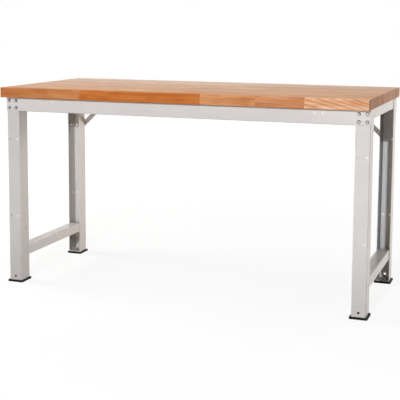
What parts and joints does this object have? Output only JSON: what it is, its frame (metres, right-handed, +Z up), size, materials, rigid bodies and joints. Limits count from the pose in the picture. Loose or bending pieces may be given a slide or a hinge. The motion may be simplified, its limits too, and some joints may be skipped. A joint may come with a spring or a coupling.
{
  "type": "workbench",
  "caption": "Fixed workshop bench: thick beech worktop on a bolted frame of folded steel legs, rails and crossmembers, with rear corner braces and plastic foot plates.",
  "frame": {"origin": "on the floor under the middle of the worktop", "axes": "+X to the right along the front rail, +Y to the back, +Z up"},
  "size_m": [1.508, 0.7, 0.815],
  "materials": {
    "worktop": "oiled beech, glued staves",
    "frame": "light grey powder coat",
    "feet": "moulded black plastic",
    "fasteners": "bright zinc plate"
  },
  "bodies": {
    "root": {"worktop": "worktop", "front_rail": "frame", "rear_rail": "frame", "leg_front_left": "frame", "leg_front_right": "frame", "leg_rear_left": "frame", "leg_rear_right": "frame", "upper_crossmember_left": "frame", "upper_crossmember_right": "frame", "lower_crossmember_left": "frame", "lower_crossmember_right": "frame", "brace_left": "frame", "brace_right": "frame", "foot_front_left": "feet", "foot_front_right": "feet", "foot_rear_left": "feet", "foot_rear_right": "feet", "brace_spacer_left": "fasteners", "brace_spacer_right": "fasteners", "bolts_front_left": "fasteners", "bolts_front_right": "fasteners", "bolts_rear_left": "fasteners", "bolts_rear_right": "fasteners", "washers_front_left": "fasteners", "washers_front_right": "fasteners", "washers_rear_left": "fasteners", "washers_rear_right": "fasteners", "nuts_front_left": "fasteners", "nuts_front_right": "fasteners", "nuts_rear_left": "fasteners", "nuts_rear_right": "fasteners", "brace_bolts_left": "fasteners", "brace_bolts_right": "fasteners", "brace_washers_left": "fasteners", "brace_washers_right": "fasteners", "brace_nuts_left": "fasteners", "brace_nuts_right": "fasteners", "worktop_screws_front": "fasteners", "worktop_screws_rear": "fasteners", "worktop_screws_left": "fasteners", "worktop_screws_right": "fasteners"}
  },
  "joints": []
}
